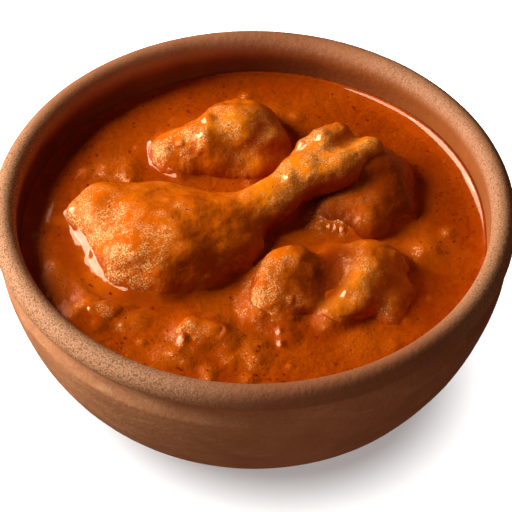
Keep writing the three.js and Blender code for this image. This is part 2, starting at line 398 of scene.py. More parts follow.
def near_spots(verts, spots):
    """1 at any of the spots, falling to 0 beyond their reach."""
    away = np.ones(len(verts))
    for *middle, reach in spots:
        away *= 1 - bell(verts, middle, reach)
    return 1 - away


def coat_fields(verts, faces, piece):
    """Painted light and shade on a piece's sauce, and where it has a grain with painted
    sparkles.

    The sauce is darker towards the foot of each piece. Painted shade darkens the flanks that
    face right and front and the listed shaded spots; painted light lightens the tops, the
    sides that face left and the lit side of the listed thin spots; painted sparkles lie in the
    grain on the shoulders that face left.
    """
    normals = vertex_normals(verts, faces)
    height = verts[:, 2]
    upward = smoothstep(0.2, 0.95, normals[:, 2])
    # Painted light: lighter where the surface faces the key light.
    faces_key = smoothstep(-0.1, 0.9, normals @ KEY_LIT_FACING + 0.15 * noise(verts, 9, 43))

    foot = GRAVY_LEVEL + 0.3
    full = min(BRIGHT_HEIGHT, GRAVY_LEVEL + 0.6 * (height.max() - GRAVY_LEVEL))
    high = smoothstep(foot, full, height + 0.16 * (full - foot) * noise(verts, 8, 41))

    # A grain with painted sparkles, on the shoulders that mirror the key light.
    sparkle_grain = smoothstep(0.68, 0.92, normals @ SPARKLE_FACING + 0.1 * noise(verts, 6, 47))
    sparkle_grain *= smoothstep(GRAVY_LEVEL + 0.6, GRAVY_LEVEL + 1.8, height)
    # Painted shade at the listed spots.
    painted_shade = near_spots(verts, piece.get("shade_spots", []))
    # Painted light: lighter sauce at the listed spots, only on the sides facing the key light.
    thin = near_spots(verts, piece.get("thin", []))
    thin *= smoothstep(0.1, 0.7, normals @ THIN_LIT_FACING)
    # Painted light and shade: lighter on the tops and on the sides facing the key light, darker
    # towards the foot and at the shaded spots.
    painted_light = high * (0.5 + 0.5 * upward) * faces_key * (1 - painted_shade)
    return {
        "painted_light": painted_light * piece.get("bright", 1),
        "sparkle_grain": np.maximum(sparkle_grain, 0.8 * thin) * (1 - painted_shade) ** 2,
        "thin": thin,
        "painted_shade": painted_shade,
    }


# ------------------------------------------------------------------ making meshes


def make_mesh(name, verts, faces, material, attributes=None, smooth=True):
    mesh = bpy.data.meshes.new(name)
    mesh.from_pydata((np.asarray(verts) * MM).tolist(), [], [tuple(map(int, f)) for f in faces])
    mesh.validate()
    mesh.update()
    if smooth:
        mesh.polygons.foreach_set("use_smooth", [True] * len(mesh.polygons))
    for key, values in (attributes or {}).items():
        layer = mesh.attributes.new(key, "FLOAT", "POINT")
        layer.data.foreach_set("value", np.asarray(values, np.float32))
    obj = bpy.data.objects.new(name, mesh)
    bpy.context.scene.collection.objects.link(obj)
    mesh.materials.append(material)
    return obj


def circle(radius, count):
    """The x and y of evenly spaced points on a circle."""
    angles = np.arange(count) * 2 * math.pi / count
    return np.column_stack([radius * np.cos(angles), radius * np.sin(angles)])


def ring_of(section, sides):
    """A closed section of (radius, height) points turned round the axis."""
    verts = np.vstack([at_height(circle(radius, sides), height) for radius, height in section])
    count = len(section)
    row, col = np.meshgrid(np.arange(count), np.arange(sides), indexing="ij")
    row_next, col_next = (row + 1) % count, (col + 1) % sides
    corners = [(row, col), (row, col_next), (row_next, col_next), (row_next, col)]
    return verts, np.stack([r * sides + c for r, c in corners], axis=2)


def revolve(profile, sides):
    """A closed profile of (radius, height) that starts and ends on the axis, turned round it."""
    verts, quads = ring_of(profile[1:-1], sides)
    faces = quads[:-1].reshape(-1, 4).tolist()
    bottom, top = len(verts), len(verts) + 1
    last = len(verts) - sides
    for k in range(sides):
        n = (k + 1) % sides
        faces.append([bottom, n, k])
        faces.append([top, last + k, last + n])
    return np.vstack([verts, [[0, 0, profile[0][1]], [0, 0, profile[-1][1]]]]), faces


# ------------------------------------------------------------------ materials


class Nodes:
    """A short way to write a node tree."""

    def __init__(self, name, world=False):
        self.owner = (bpy.data.worlds if world else bpy.data.materials).new(name)
        self.owner.use_nodes = True
        self.tree = self.owner.node_tree
        self.tree.nodes.clear()

    def add(self, kind, inputs=None, **settings):
        node = self.tree.nodes.new("ShaderNode" + kind)
        for key, value in settings.items():
            setattr(node, key, value)
        for key, value in (inputs or {}).items():
            self.put(node.inputs[key], value)
        return node

    def put(self, socket, value):
        if isinstance(value, bpy.types.NodeSocket):
            self.tree.links.new(value, socket)
        else:
            socket.default_value = value

    def here(self):
        return self.add("TexCoord").outputs["Object"]

    def stretched(self, x, y, z):
        node = self.add("Mapping", {"Vector": self.here(), "Scale": (x, y, z)})
        return node.outputs["Vector"]

    def noise(self, scale, detail=2.0, roughness=0.5, at=None, distortion=0.0):
        node = self.add("TexNoise", {"Scale": scale, "Detail": detail, "Roughness": roughness})
        node.inputs["Distortion"].default_value = distortion
        self.put(node.inputs["Vector"], at or self.here())
        return node.outputs["Fac"]

    def attribute(self, name):
        return self.add("Attribute", attribute_name=name).outputs["Fac"]

    def math(self, operation, a, b):
        node = self.add("Math", operation=operation)
        self.put(node.inputs[0], a)
        self.put(node.inputs[1], b)
        return node.outputs[0]

    def times(self, a, b):
        return self.math("MULTIPLY", a, b)

    def plus(self, a, b):
        return self.math("ADD", a, b)

    def remap(self, value, low, high, to_low=0.0, to_high=1.0):
        node = self.add("MapRange", interpolation_type="SMOOTHSTEP")
        for key, v in zip(
            ("Value", "From Min", "From Max", "To Min", "To Max"),
            (value, low, high, to_low, to_high),
        ):
            self.put(node.inputs[key], v)
        return node.outputs[0]

    def mix(self, share, a, b):
        node = self.add("Mix", data_type="RGBA")
        self.put(node.inputs[0], share)
        self.put(node.inputs[6], a)
        self.put(node.inputs[7], b)
        return node.outputs[2]

    def bump(self, height, strength, distance, normal=None):
        node = self.add("Bump", {"Strength": strength, "Distance": distance, "Height": height})
        if normal is not None:
            self.put(node.inputs["Normal"], normal)
        return node.outputs["Normal"]

    def finish(self, colour, roughness, normal, gloss, gloss_tint=None):
        shader = self.add("BsdfPrincipled", {"Base Color": colour, "Roughness": roughness})
        self.put(shader.inputs["Normal"], normal)
        self.put(shader.inputs["Specular IOR Level"], gloss)
        if gloss_tint is not None:
            self.put(shader.inputs["Specular Tint"], gloss_tint)
        self.put(self.add("OutputMaterial").inputs["Surface"], shader.outputs[0])
        return self.owner


def rgb(red, green, blue):
    return (red, green, blue, 1.0)


CLAY = rgb(0.44, 0.144, 0.051), rgb(0.54, 0.197, 0.077)
CLAY_STREAK = rgb(0.68, 0.30, 0.13)
# Pale dust, and painted light on the outside's left.
CLAY_DUST_AND_LIGHT = rgb(0.76, 0.38, 0.17)
CLAY_DARKER_BROWN = rgb(0.30, 0.083, 0.026)
CLAY_SAND = rgb(0.68, 0.33, 0.155)
SAND_GRAIN = rgb(0.84, 0.46, 0.22)
CLAY_PIT = rgb(0.20, 0.07, 0.03)
SOAKED_CLAY = rgb(0.32, 0.080, 0.010), rgb(0.39, 0.10, 0.014)
# Painted shade: the soaked inside where it is darker, at the left and back.
SHADED_SOAKED_CLAY = rgb(0.12, 0.018, 0.002), rgb(0.16, 0.027, 0.003)


def clay_material():
    """Unglazed clay: sandy on the lip, sauce-soaked inside, with painted shade and painted
    light.
    """
    n = Nodes("unglazed_clay")
    inside, sandy = n.attribute("inside"), n.attribute("sandy")
    base = n.mix(n.remap(n.noise(30, 4, 0.6), 0.35, 0.68), *CLAY)
    streaks = n.noise(46, 4, 0.65, at=n.stretched(0.5, 0.5, 2.2), distortion=0.6)
    base = n.mix(n.remap(streaks, 0.54, 0.7, 0, 0.45), base, CLAY_STREAK)
    smears = n.noise(120, 5, 0.7, at=n.stretched(0.6, 0.6, 1.5), distortion=0.4)
    # Pale dust all round the outside, and painted light on the stretches at the left.
    dust = n.times(n.attribute("dust_and_light"), n.remap(smears, 0.46, 0.66, 0.35, 1))
    base = n.mix(dust, base, CLAY_DUST_AND_LIGHT)
    # A darker brown on some stretches of the lip.
    base = n.mix(n.times(n.attribute("darker_brown"), 0.8), base, CLAY_DARKER_BROWN)
    base = n.mix(n.times(sandy, 0.6), base, CLAY_SAND)
    grain = n.noise(2100, 2, 0.6)
    grains = n.times(n.remap(grain, 0.44, 0.6), n.remap(sandy, 0, 1, 0.04, 0.45))
    base = n.mix(grains, base, SAND_GRAIN)
    pits = n.remap(n.noise(1500, 2, 0.6), 0.51, 0.6)
    base = n.mix(n.times(pits, n.remap(sandy, 0, 1, 0.2, 0.8)), base, CLAY_PIT)
    stain = n.remap(n.noise(60, 3), 0.3, 0.7)
    # Painted shade: the inside of the wall is darker at the left and back.
    soaked = n.mix(n.attribute("shaded_inside"), n.mix(stain, *SOAKED_CLAY), n.mix(stain, *SHADED_SOAKED_CLAY))
    base = n.mix(n.times(inside, 0.9), base, soaked)
    rough = n.remap(inside, 0, 1, 0.62, 0.5)
    uneven = n.bump(n.noise(420, 3, 0.6), 1.0, 0.0003)
    normal = n.bump(grain, n.remap(sandy, 0, 1, 0.15, 1.0), 0.00025, uneven)
    return n.finish(base, rough, normal, gloss=0.22)


GRAVY = rgb(0.41, 0.052, 0.0005), rgb(0.51, 0.076, 0.001)
GRAVY_CLOUD = rgb(0.58, 0.115, 0.001)
GRAVY_SPICE = rgb(0.30, 0.032, 0.0005)
GRAVY_GRIT = rgb(0.68, 0.13, 0.002)
# Painted sparkles: the colour of the pale grains on the gravy.
GRAVY_PAINTED_SPARKLE = rgb(0.98, 0.68, 0.34)
GRAVY_SPECK = rgb(0.13, 0.012, 0.001)
RESTLESS_SHEEN, CALM_SHEEN = rgb(1, 0.4, 0.1), rgb(1, 0.82, 0.66)


def gravy_material():
    """Thick gravy: dull and mottled where it is restless, smooth and wet where it is calm."""
    n = Nodes("curry_gravy")
    gritty, calm = n.attribute("gritty"), n.attribute("calm")
    restless = n.remap(calm, 0, 1, 1.0, 0.0)
    cloudy = n.noise(210, 4, 0.6)
    grain = n.noise(1700, 2, 0.6)
    base = n.mix(n.remap(n.noise(34, 3, 0.55), 0.36, 0.66), *GRAVY)
    base = n.mix(n.remap(cloudy, 0.5, 0.74, 0, 0.4), base, GRAVY_CLOUD)
    base = n.mix(n.remap(n.noise(560, 3, 0.6), 0.5, 0.66, 0, 0.4), base, GRAVY_SPICE)
    base = n.mix(n.times(gritty, 0.6), base, GRAVY_GRIT)
    # Painted sparkles: pale grains on gritty gravy that faces the key light's reflection.
    grainy = n.times(n.remap(n.noise(260, 3, 0.6), 0.46, 0.58), n.attribute("sparkle_grain"))
    pale = n.times(n.remap(grain, 0.5, 0.58), grainy)
    base = n.mix(n.times(pale, 0.9), base, GRAVY_PAINTED_SPARKLE)
    specks = n.remap(n.noise(900, 2, 0.5, at=n.stretched(1, 1, 0.3)), 0.66, 0.73, 0, 0.7)
    base = n.mix(specks, base, GRAVY_SPECK)
    soft = n.bump(n.noise(380, 4, 0.58), restless, 0.00045)
    height = n.times(n.times(grain, n.remap(gritty, 0.1, 0.7, 0.12, 1.0)), restless)
    normal = n.bump(height, 1.0, 0.00025, soft)
    rough = n.times(n.remap(cloudy, 0.3, 0.8, 0.12, 0.24), restless)
    rough = n.plus(rough, n.times(calm, 0.07))
    gloss = n.remap(calm, 0, 1, 0.05, 0.36)
    return n.finish(base, rough, normal, gloss, n.mix(calm, RESTLESS_SHEEN, CALM_SHEEN))


# The sauce's colour on the foot and shaded flanks (painted shade), and on the lit tops (painted
# light).
DEEP_AND_SHADED_SAUCE = rgb(0.39, 0.048, 0.0005), rgb(0.50, 0.072, 0.001)
LIT_TOP_SAUCE = rgb(0.69, 0.125, 0.001), rgb(0.79, 0.164, 0.002)
# Painted light: the colour of the thin spots' lit sides.
THIN_LIT_SAUCE = rgb(1.0, 0.27, 0.004)
SAUCE_CLOUD = rgb(0.90, 0.24, 0.004)
# Painted sparkles: the sauce between the pale grains, and the pale grains themselves.
SPARKLE_PATCH_SAUCE = rgb(0.50, 0.09, 0.002)
PAINTED_SPARKLE = rgb(0.98, 0.66, 0.28)
# Painted shade: the sauce's colour at the shaded spots.
PAINTED_SHADE_SAUCE = rgb(0.17, 0.017, 0.0005)
SAUCE_SPECK = rgb(0.14, 0.014, 0.002)
SAUCE_SHEEN, DROP_SHEEN = rgb(1, 0.6, 0.25), rgb(1, 0.7, 0.52)


def chicken_material():
    """Sauce on chicken: painted shade where it is dark, painted light where it is bright, and a
    grain with painted sparkles.
    """
    n = Nodes("sauced_chicken")
    wet = n.attribute("wet")
    matt = n.remap(wet, 0, 1, 1.0, 0.0)
    broad = n.remap(n.noise(70, 3, 0.55), 0.36, 0.66)
    grain = n.noise(1700, 2, 0.6)
    grainy = n.times(n.remap(n.noise(140, 4, 0.65), 0.40, 0.56), n.attribute("sparkle_grain"))
    # Painted light and shade: a lit and a shaded copy of one sauce.
    base = n.mix(n.attribute("painted_light"), n.mix(broad, *DEEP_AND_SHADED_SAUCE), n.mix(broad, *LIT_TOP_SAUCE))
    # Painted light at the thin spots.
    base = n.mix(n.times(n.attribute("thin"), 0.9), base, THIN_LIT_SAUCE)
    base = n.mix(n.remap(n.noise(330, 4, 0.6), 0.5, 0.74, 0, 0.3), base, SAUCE_CLOUD)
    # Painted sparkles: a darker sauce with pale grains where the surface mirrors the key light.
    base = n.mix(n.times(grainy, 0.4), base, SPARKLE_PATCH_SAUCE)
    pale = n.times(n.remap(grain, 0.49, 0.58), grainy)
    base = n.mix(n.times(pale, 0.8), base, PAINTED_SPARKLE)
    # Painted shade: a dark sauce at the shaded spots.
    base = n.mix(n.times(n.attribute("painted_shade"), 0.85), base, PAINTED_SHADE_SAUCE)
    base = n.mix(n.remap(n.noise(800, 2, 0.5), 0.68, 0.74, 0, 0.8), base, SAUCE_SPECK)
    soft = n.bump(n.noise(420, 4, 0.55), matt, 0.00045)
    gritty = n.times(n.remap(grainy, 0, 1, 0.05, 1.0), matt)
    normal = n.bump(grain, gritty, 0.0002, soft)
    rough = n.plus(n.times(n.remap(grainy, 0, 1, 0.2, 0.16), matt), 0.06)
    gloss = n.plus(n.remap(grainy, 0, 1, 0.2, 0.42), n.times(wet, 0.32))
    return n.finish(base, rough, normal, gloss, n.mix(wet, SAUCE_SHEEN, DROP_SHEEN))


FLAKE = rgb(0.20, 0.018, 0.001), rgb(0.34, 0.034, 0.002)


def flake_material():
    n = Nodes("spice_flake")
    base = n.mix(n.noise(500, 2), *FLAKE)
    rough = n.remap(n.noise(700, 2), 0.3, 0.7, 0.6, 0.85)
    return n.finish(base, rough, n.bump(n.noise(2500, 2), 0.4, 0.0003), gloss=0.05)


# ------------------------------------------------------------------ bowl

# On the bowl's inside the lip's skin and the wall's cross at a grazing angle between
# these two heights, where both are about this radius and taper by this much.
WALL_TOP = 72.2
LIP_FOOT = 69.0
INNER_RADIUS = 90.5
TAPER = 0.1
FOOT_BEVEL = 1.2
HOLLOW_UNDER_LIP = 0.9
# Degrees round the lip's section where it starts, under its outer side, and degrees up
# the outside of the wall where the hollow under the lip begins.
LIP_START = -75
WALL_END = 79

# Stretches of the lip where the clay's sand lies open, and where it is a darker brown:
# middle bearing, half width, strength.
SANDY_STRETCHES = [(-118, 52, 1.0), (98, 34, 0.7), (52, 24, 0.5)]
DARKER_BROWN_STRETCHES = [(168, 52, 1.0), (-30, 50, 0.35), (104, 34, 0.65)]
# Where the inside of the wall is darker with painted shade, and where the outside has
# pale dust of slip and, at the left, is lighter with painted light.
SHADED_INSIDE_STRETCHES = [(-58, 90, 1.0)]
DUSTY_AND_LIT_STRETCHES = [(-148, 24, 0.65), (-104, 24, 0.7)]


def wall_curve(centre_radius, reach, low, rise, angles):
    radii = centre_radius + reach * np.sin(angles)
    return np.stack([radii, low + rise * (1 - np.cos(angles))], axis=1)


def inner_radius(height):
    """Radius of the bowl's inside at a height above what it stands on."""
    above = (np.asarray(height, float) - FLOOR_THICKNESS) / INNER_RISE
    cosine = np.clip(1 - above, 0, 1)
    return INNER_CENTRE + INNER_REACH * np.sqrt(1 - cosine**2)


def lip_section():
    """The rolled lip's section: an oval whose inner side runs straight down to its foot."""
    angles = np.radians(np.linspace(LIP_START, 180, 52))
    middle = np.array([RIM_RADIUS - LIP_THICKNESS / 2, BOWL_HEIGHT - LIP_DROP / 2])
    radii = np.array([LIP_THICKNESS / 2, LIP_DROP / 2])
    oval = middle + radii * np.stack([np.cos(angles), np.sin(angles)], axis=1)
    height = np.linspace(oval[-1, 1], LIP_FOOT, 14)[1:]
    below = np.maximum(WALL_TOP - height, 0) / (WALL_TOP - LIP_FOOT)
    radius = INNER_RADIUS + (oval[-1, 0] - INNER_RADIUS) * smoothstep(72, 77, height)
    side = np.stack([radius + TAPER * below**2, height], axis=1)
    return np.vstack([oval, side])


def wall_profile():
    """The wall and foot, whose top end lies inside the lip."""
    foot = [(0, 0), (FOOT_RADIUS - FOOT_BEVEL, 0), (FOOT_RADIUS, 0.15)]
    start = math.asin((FOOT_RADIUS - OUTER_CENTRE) / OUTER_REACH) + 0.012
    angles = np.linspace(start, math.radians(WALL_END), 74)
    outer = wall_curve(OUTER_CENTRE, OUTER_REACH, 0, OUTER_RISE, angles)

    # The hollow under the lip eases from the wall's top into the lip's underside.
    t = np.linspace(0, 1, 12)[1:, None]
    hollow = outer[-1] * (1 - t) + np.array([RIM_RADIUS - 3.8, WALL_TOP + 0.3]) * t
    hollow[:, 0] -= HOLLOW_UNDER_LIP * np.sin(math.pi * t[:, 0])
    shoulder = [(93, WALL_TOP + 0.3), (91.2, WALL_TOP + 0.1)]

    angles = np.linspace(math.radians(89), 0, 46)
    inner = wall_curve(INNER_CENTRE, INNER_REACH, FLOOR_THICKNESS, INNER_RISE, angles)
    inner = inner[inner[:, 1] < LIP_FOOT]
    inner[:, 0] += (INNER_RADIUS - inner[0, 0]) * smoothstep(62, inner[0, 1], inner[:, 1])
    height = np.linspace(WALL_TOP, inner[0, 1], 8)[:-1]
    above = np.maximum(height - LIP_FOOT, 0) / (WALL_TOP - LIP_FOOT)
    top = np.stack([INNER_RADIUS + TAPER * above**2, height], axis=1)
    return np.vstack([foot, outer, hollow, shoulder, top, inner, [(0, FLOOR_THICKNESS)]])


def stretches(bearing, spans, elsewhere):
    """The strength of the strongest stretch at each bearing."""
    total = np.full(len(bearing), elsewhere)
    for middle, half_width, strength in spans:
        away = np.abs((bearing - middle + 180) % 360 - 180)
        here = strength * (1 - smoothstep(0.5 * half_width, 1.5 * half_width, away))
        total = np.maximum(total, here)
    return total


def hand_thrown(verts):
    """A clay mesh with throwing lines on its wall, and slightly uneven all over."""
    radius = np.hypot(verts[:, 0], verts[:, 1])
    height = verts[:, 2]
    outside = (radius > inner_radius(height) + 3) & (height > 0.5)
    lines = 0.12 * noise(np.stack([radius * 0, radius * 0, height], 1), 3.1, 4)
    uneven = 0.22 * noise(verts, 46, 2) + 0.1 * noise(verts, 15, 3)
    high = smoothstep(62, 71, height)
    push = np.where(outside, uneven + lines * (1 - high), 0) * (1 - high)
    push += 0.6 * uneven * high
    scale = np.where(radius > 40, 1 + push / np.maximum(radius, 1), 1)
    return np.column_stack([verts[:, :2] * scale[:, None], height])


def clay_fields(verts):
    """What the clay is like at each point of a mesh of round, even walls."""
    radius = np.hypot(verts[:, 0], verts[:, 1])
    height = verts[:, 2]
    outside = (radius > inner_radius(height) + 3) & (height > 0.5)
    inside = (radius < inner_radius(height) + 2.5) * (1 - smoothstep(74, 79.5, height))
    bearing = bearing_of(verts)
    on_lip = smoothstep(72.5, 76.5, height)
    # Painted shade on the inside of the wall at the left and back.
    shaded_inside = stretches(bearing, SHADED_INSIDE_STRETCHES, 0.0) * (1 - smoothstep(71, 77, height))
    # Pale dust on the outside, with painted light on the stretches at the left.
    dust_and_light = outside * (1 - smoothstep(66, 71, height)) * smoothstep(8, 24, height)
    return {
        "inside": inside,
        "sandy": on_lip * stretches(bearing, SANDY_STRETCHES, 0.12),
        "darker_brown": on_lip * stretches(bearing, DARKER_BROWN_STRETCHES, 0.0),
        "shaded_inside": shaded_inside,
        "dust_and_light": dust_and_light * stretches(bearing, DUSTY_AND_LIT_STRETCHES, 0.12),
    }


def make_clay(name, verts, faces, material):
    return make_mesh(name, hand_thrown(verts), faces, material, clay_fields(verts))


def make_bowl(material):
    verts, faces = revolve(wall_profile(), BOWL_SIDES)
    return make_clay("clay_bowl", verts, faces, material)


def make_lip(material):
    verts, quads = ring_of(lip_section(), BOWL_SIDES)
    return make_clay("clay_lip", verts, quads.reshape(-1, 4), material)


# ------------------------------------------------------------------ gravy

GRAVY_RINGS = 150
# Lumps of onion and spice just under the surface: x, y, reach, height.
MOUNDS = [
    (-44, -47, 5, 1.6),
    (-51, 33, 6, 1.4),
    (-60, -30, 7, 0.9),
    (-3, -60, 8, 1.1),
    (66, -9, 5, 1.5),
    (8, 66, 6, 1.0),
    (26, 10, 7, 1.2),
    (40, -58, 7, 0.9),
    (-30, -64, 6, 0.8),
    (18, 32, 6, 1.1),
]
SMALL_MOUNDS = 90
# Drops of sauce on the gravy: x, y, reach.
DROPS = [
    (-26.7, -58.1, 2.2),
    (9.4, -53.1, 1.4),
    (9.8, -58.5, 1.7),
    (28.5, 1.9, 1.2),
    (31, 1.1, 1.2),
    (33.5, 0.2, 1.4),
]

# The gravy is drawn up in a fillet where it meets the chicken, and laps into the meat so
# that no gap shows.
FILLET = 4.0
HIGHEST_CLIMB = 3.4
LAP = 0.5
FILLET_STEPS = 60
# It clings highest to the side of the drumstick that the light comes from.
THICK_FILLET = 1.0
THICK_FILLET_MIDDLE = (-58, -22)
THICK_FILLET_REACH = 20
# Where it lets go or, with a share below 0, where it buries a small piece's edge: x, y,
# reach, share.
FILLET_GAPS = [
    (-71, 2.5, 5, 0.8),
    (-71, 17, 7, 0.8),
    (-36, 30, 5, 0.8),
    (-42, 42, 8, 0.4),
    (64, 20, 13, 0.9),
    (-19, -54, 15, -0.3),
    (-58, -45, 15, -0.15),
]

# The bearings between which the gravy is calm and smooth: it grows calm over the first
# two, and restless again over the last two.
CALM_AT_WALL = (-40, -10, 82, 94)
CALM_AT_DRUMSTICK = (-150, -140, -85, -72)
CALM_AT_BACK_PIECE = (-56, -52, -40, -36)


def small_mounds():
    """Bits of onion and tomato in the gravy, most of them at the left and the front."""
    rng = np.random.default_rng(5)
    xy = rng.uniform(-84, 84, (900, 2))
    size = rng.uniform(1.3, 3.4, len(xy))
    rise = size * rng.uniform(0.16, 0.34, len(xy))
    crowd = 0.16 + 0.5 * smoothstep(10, -60, xy[:, 0] + 0.7 * xy[:, 1])
    keep = (np.hypot(xy[:, 0], xy[:, 1]) < 82) & (rng.uniform(0, 1, len(xy)) < crowd)
    return np.column_stack([xy, size, rise])[keep][:SMALL_MOUNDS].tolist()


ALL_MOUNDS = [*MOUNDS, *small_mounds()]


def wall_climb(xy):
    """How far the gravy is drawn up the wall: least at the left, broadest at the back right."""
    bearing = bearing_of(xy)
    broad = np.exp(-(((bearing - 56) / 20) ** 2))
    climb = WALL_CLIMB * (0.3 + 0.7 * smoothstep(-50, 0, xy[:, 0])) * (1 + 0.45 * broad)
    climb *= 1 - 0.55 * smoothstep(70, 92, bearing)
    away = np.maximum(inner_radius(GRAVY_LEVEL) - np.hypot(xy[:, 0], xy[:, 1]), 0)
    return climb * np.exp(-away / (1.6 + 0.75 * broad))


def gravy_drops(xy):
    """The height that the drops add to the gravy, and where they lie."""
    rise, wet = np.zeros(len(xy)), np.zeros(len(xy))
    slope = -GLINT_FACING[:2] / GLINT_FACING[2]
    for *middle, reach in DROPS:
        near = bell(xy, middle, reach)
        rise += near * ((xy - np.array(middle)) @ slope + 0.3 * reach)
        wet = np.maximum(wet, smoothstep(0.5, 0.75, near))
    return rise, wet


def open_gravy_height(xy):
    """Height of the gravy away from the chicken."""
    flat = at_height(xy)
    height = GRAVY_LEVEL - 0.3 + 0.25 * lumps(flat, 7.5)
    height += 0.35 * noise(flat, 12, 31) + 0.12 * noise(flat, 4.5, 32)
    height += 0.05 * noise(flat, 2.2, 33)
    for x, y, size, rise in ALL_MOUNDS:
        height += rise * bell(xy, (x, y), size)
    return height + wall_climb(xy)


def grittiness(xy):
    """Where the gravy is rough with bits: on its mounds, and in a few patches."""
    total = 0.4 * smoothstep(0.25, 0.6, noise(at_height(xy), 15, 55))
    for x, y, size, _ in ALL_MOUNDS:
        total += bell(xy, (x, y), 1.1 * size)
    return np.minimum(total, 1)


def calmness(xy):
    """1 where the gravy is smooth: at two pieces' left, and at the wall's back and right."""
    bearing = bearing_of(xy)

    def arc(grows, calm, fades, restless):
        return smoothstep(grows, calm, bearing) * (1 - smoothstep(fades, restless, bearing))

    in_gravy = at_height(xy, GRAVY_LEVEL + 1)
    to_drumstick = meat_distance(PIECES["drumstick"], in_gravy)
    to_back_piece = meat_distance(PIECES["back_piece"], in_gravy)
    at_wall = smoothstep(84, 86.5, np.hypot(xy[:, 0], xy[:, 1])) * arc(*CALM_AT_WALL)
    at_drumstick = (1 - smoothstep(5, 9, to_drumstick)) * arc(*CALM_AT_DRUMSTICK)
    at_back_piece = (1 - smoothstep(3, 6, to_back_piece)) * arc(*CALM_AT_BACK_PIECE)
    return np.maximum.reduce([at_wall, at_drumstick, at_back_piece])


def fillet_width(xy):
    """How broadly the gravy is drawn up to the chicken."""
    width = FILLET + THICK_FILLET * bell(xy, THICK_FILLET_MIDDLE, THICK_FILLET_REACH)
    for x, y, reach, share in FILLET_GAPS:
        width *= 1 - share * bell(xy, (x, y), reach)
    return width * (1 + 0.22 * noise(at_height(xy), 5, 61))


def gravy_height(xy):
    """The gravy's surface, drawn up in a fillet where it meets the chicken."""
    calm = calmness(xy)
    level = open_gravy_height(xy) * (1 - calm) + (GRAVY_LEVEL - 0.1 + wall_climb(xy)) * calm
    near = all_meat(at_height(xy, level)) < 1.7 * FILLET + 1
    width = fillet_width(xy)[near]
    start = at_height(xy[near], level[near] - LAP)
    climb = np.zeros(len(start))
    for _ in range(FILLET_STEPS):
        points = start + np.column_stack([np.zeros((len(start), 2)), climb])
        union = smooth_min(all_meat(points) + LAP, points[:, 2] - level[near], width)
        climb += np.clip(-0.7 * union, -0.4, 1.0)
    height = level.copy()
    height[near] = start[:, 2] + np.clip(climb, -1, HIGHEST_CLIMB)
    return height + gravy_drops(xy)[0]


def disc(radius, rings):
    """Points and triangles of a flat disc whose ring n has 6 n points."""
    points = [np.zeros((1, 2))]
    points += [circle(radius * ring / rings, 6 * ring) for ring in range(1, rings + 1)]
    first = [0] + [1 + 3 * ring * (ring - 1) for ring in range(1, rings + 1)]
    faces = []
    for ring in range(1, rings + 1):
        outer_count, inner_count = 6 * ring, max(6 * (ring - 1), 1)
        for sector in range(6):
            for i in range(ring):
                outer, inner = sector * ring + i, sector * (ring - 1) + i
                a = first[ring] + outer
                b = first[ring] + (outer + 1) % outer_count
                c = first[ring - 1] + inner % inner_count
                faces.append((a, b, c))
                if i < ring - 1:
                    faces.append((b, first[ring - 1] + (inner + 1) % inner_count, c))
    return np.vstack(points), faces


def underside(edge, edge_start):
    """The gravy's underside, which follows the bowl's inside.

    It hangs from the surface's last `edge` points, the first of them `edge_start`, and
    its own points come straight after them.
    """
    verts, faces = [], []
    above, below = edge_start, edge_start + edge
    for height in np.linspace(GRAVY_LEVEL - 4, FLOOR_THICKNESS + 0.3, 9):
        radius = float(inner_radius(height)) - 0.3
        verts.append(at_height(circle(radius, edge), height))
        for k in range(edge):
            n = (k + 1) % edge
            faces.append((above + k, below + k, below + n))
            faces.append((above + k, below + n, above + n))
        above, below = below, below + edge
    verts.append([[0, 0, FLOOR_THICKNESS + 0.3]])
    for k in range(edge):
        faces.append((below, above + (k + 1) % edge, above + k))
    return np.vstack(verts), faces


def make_gravy(material):
    edge_radius = float(inner_radius(GRAVY_LEVEL + WALL_CLIMB)) + 0.35
    xy, faces = disc(edge_radius, GRAVY_RINGS)
    edge = 6 * GRAVY_RINGS
    hidden_verts, hidden_faces = underside(edge, len(xy) - edge)
    verts = np.vstack([at_height(xy, gravy_height(xy)), hidden_verts])
    faces += hidden_faces
    hidden = np.zeros(len(hidden_verts))
    gritty = np.append(grittiness(xy), hidden)
    calm = np.append(np.maximum(calmness(xy), gravy_drops(xy)[1]), hidden)
    # Painted sparkles where the gravy faces the key light's reflection.
    facing = vertex_normals(verts, np.array(faces)) @ SPARKLE_FACING
    sparkle_grain = smoothstep(0.80, 0.90, facing) * gritty * (1 - calm)
    fields = {"gritty": gritty, "calm": calm, "sparkle_grain": sparkle_grain}
    return make_mesh("curry_gravy", verts, faces, material, fields)


# ------------------------------------------------------------------ spice flakes

FLAKES_ON_GRAVY = 380
FLAKES_REACH = 87  # how near the wall they float
# The rings of a flake: share of its size, height above the gravy.
FLAKE_RINGS = [(1.0, -0.12), (0.82, 0.06)]


def flake_places(rng):
    """Where flakes float: in clouds, more of them near the wall, and clear of the chicken."""
    xy = rng.uniform(-FLAKES_REACH, FLAKES_REACH, (6000, 2))
    radius = np.hypot(xy[:, 0], xy[:, 1])
    crowd = 0.35 + 0.4 * noise(at_height(xy), 26, 77) + 0.35 * smoothstep(55, 86, radius)
    keep = (radius < FLAKES_REACH) & (rng.uniform(0, 1, len(xy)) < crowd)
    keep &= all_meat(at_height(xy, open_gravy_height(xy))) > 1.0
    xy = xy[keep][:FLAKES_ON_GRAVY]
    return at_height(xy, gravy_height(xy))


